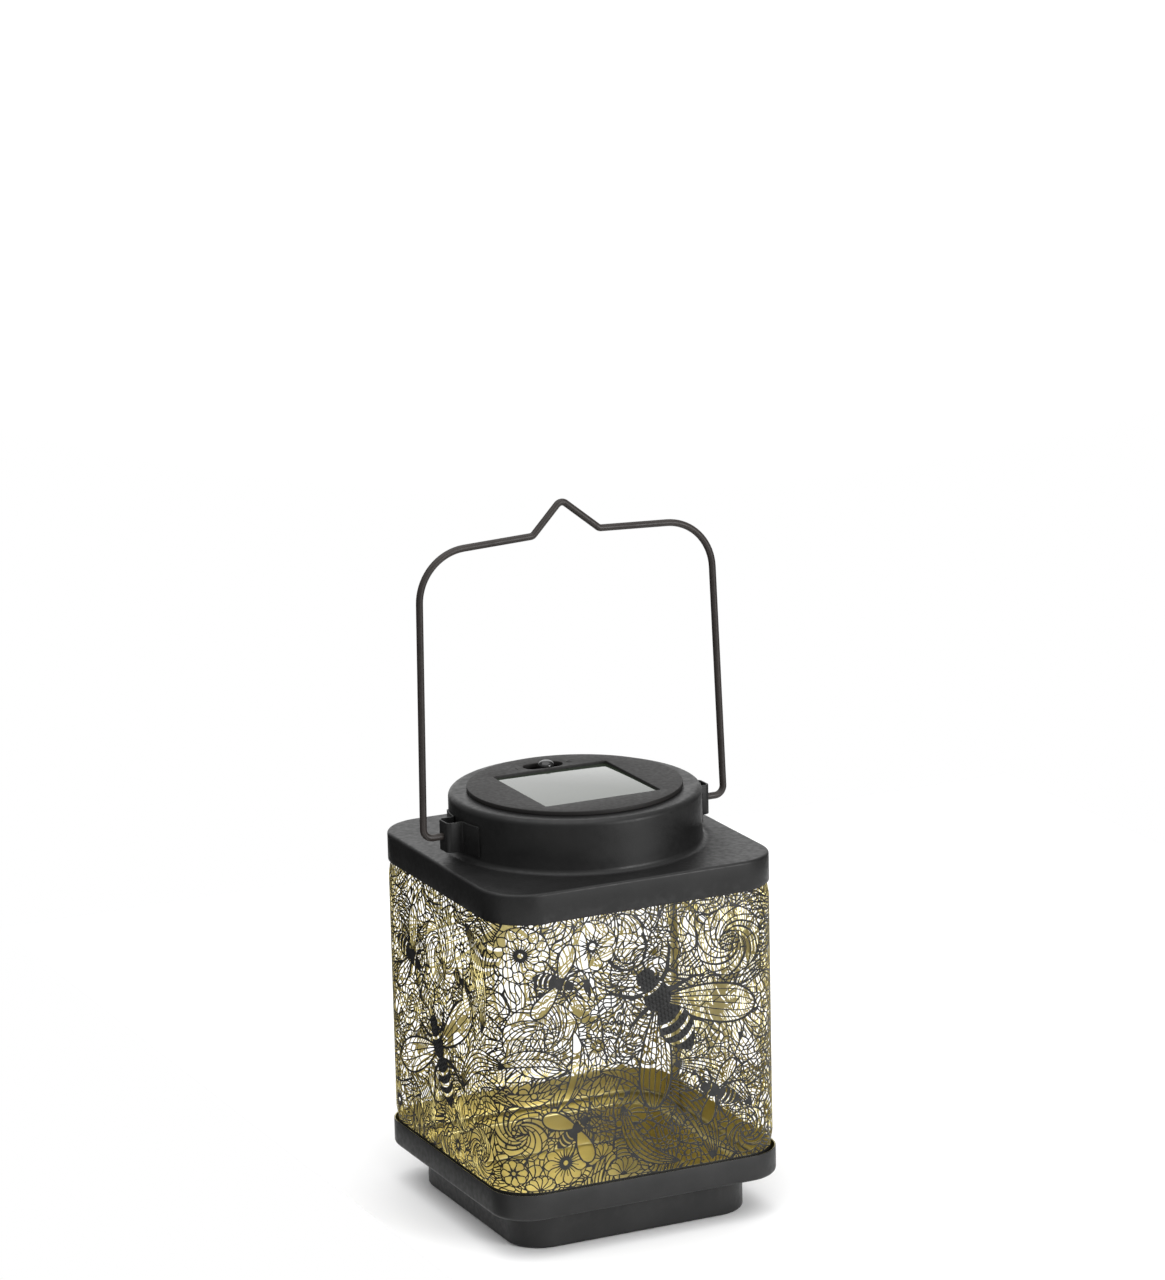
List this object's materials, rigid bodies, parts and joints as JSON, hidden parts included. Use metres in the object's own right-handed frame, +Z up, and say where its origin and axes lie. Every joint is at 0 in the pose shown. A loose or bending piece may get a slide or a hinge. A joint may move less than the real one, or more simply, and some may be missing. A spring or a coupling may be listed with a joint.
{
  "type": "solar lantern",
  "caption": "Square sheet-metal garden lantern with a cut-out gilt sleeve, pressed cap and base, swinging wire bail and a drop-in solar module with slide switch, LED and battery bay.",
  "frame": {"origin": "centre of the foot's underside, on the surface that the lantern stands on", "axes": "+Z up; +X along the bail's pivot axis; -Y is the front face"},
  "size_m": [0.1438, 0.1324, 0.3072],
  "materials": {
    "black_powder_coat": "satin",
    "gilt_black_sheet": "black outside, gold lacquer inside",
    "gold_lacquer": "satin",
    "bail_coat": "satin",
    "black_plastic": "fine moulded texture",
    "gloss_black_plastic": "polished",
    "cell_glass": "clear",
    "silicon": "cell with silver grid",
    "plated_steel": "zinc plated",
    "circuit_board": "solder resist",
    "chip_epoxy": "moulded",
    "coil_lacquer": "dipped",
    "led_epoxy": "clear warm",
    "seal_rubber": "matt",
    "battery_sleeve": "shrink film",
    "wire_red": "vinyl",
    "wire_black": "vinyl"
  },
  "bodies": {
    "shell": {"base_pan": "black_powder_coat", "filigree_sleeve": "gilt_black_sheet", "seam_strip": "gold_lacquer", "top_cap": "black_powder_coat", "bracket_left": "black_powder_coat", "bracket_right": "black_powder_coat"},
    "bail": {"bail_handle": "bail_coat"},
    "solar_module": {"module_lid": "black_plastic", "cell_window": "cell_glass", "solar_cell": "silicon", "switch_body": "plated_steel", "circuit_board": "circuit_board", "board_screw_1": "plated_steel", "board_screw_2": "plated_steel", "drive_chip": "chip_epoxy", "inductor_coil": "coil_lacquer", "led": "led_epoxy", "module_can": "black_plastic", "housing_seal": "seal_rubber", "can_screw_1": "plated_steel", "can_screw_2": "plated_steel", "can_screw_3": "plated_steel", "battery_cell": "battery_sleeve", "contact_plate": "plated_steel", "contact_spring": "plated_steel", "cell_wire_red": "wire_red", "cell_wire_black": "wire_black", "battery_wire_red": "wire_red", "battery_wire_black": "wire_black"},
    "switch": {"switch_knob": "gloss_black_plastic"},
    "battery_cover": {"battery_door": "black_plastic", "battery_door_screw": "plated_steel"}
  },
  "joints": [
    {"name": "bail_swing", "type": "hinge", "parent": "shell", "child": "bail", "pos_m": [0, 0, 0.1694], "axis": [1, 0, 0], "range_deg": [-145, 147]},
    {"name": "module_lift", "type": "slide", "parent": "shell", "child": "solar_module", "axis": [0, 0, 1], "range_m": [0, 0.08]},
    {"name": "switch_slide", "type": "slide", "parent": "solar_module", "child": "switch", "axis": [1, 0, 0], "range_m": [-0.003, 0]},
    {"name": "door_drop", "type": "slide", "parent": "solar_module", "child": "battery_cover", "axis": [0, 0, -1], "range_m": [0, 0.02]}
  ]
}
